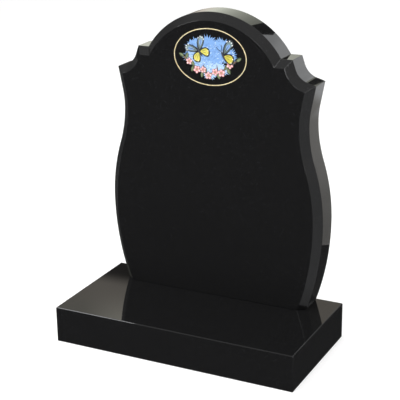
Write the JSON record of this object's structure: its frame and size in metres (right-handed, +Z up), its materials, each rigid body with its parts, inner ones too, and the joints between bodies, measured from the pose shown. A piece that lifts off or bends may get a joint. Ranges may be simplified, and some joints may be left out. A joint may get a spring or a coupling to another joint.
{
  "type": "headstone",
  "caption": "Polished black granite headstone with an arched top, scooped shoulders and curved sides, chamfered round the front, upright on a low base slab, with a painted oval panel.",
  "frame": {"origin": "middle of the base slab's underside", "axes": "+Z up the headstone, +X to the right as the front is looked at, -Y out of the chamfered front face"},
  "size_m": [0.61, 0.31, 0.7763],
  "materials": {
    "polished_granite": "near-black fine-grained granite, mirror polished on every face",
    "gold_line": "pale gold line gilded flush on the polished face",
    "picture_enamel": "thin satin enamel in sky blues, pinks, greens, yellow and white, painted on the stone"
  },
  "bodies": {
    "root": {"headstone": "polished_granite", "base": "polished_granite"}
  },
  "joints": []
}
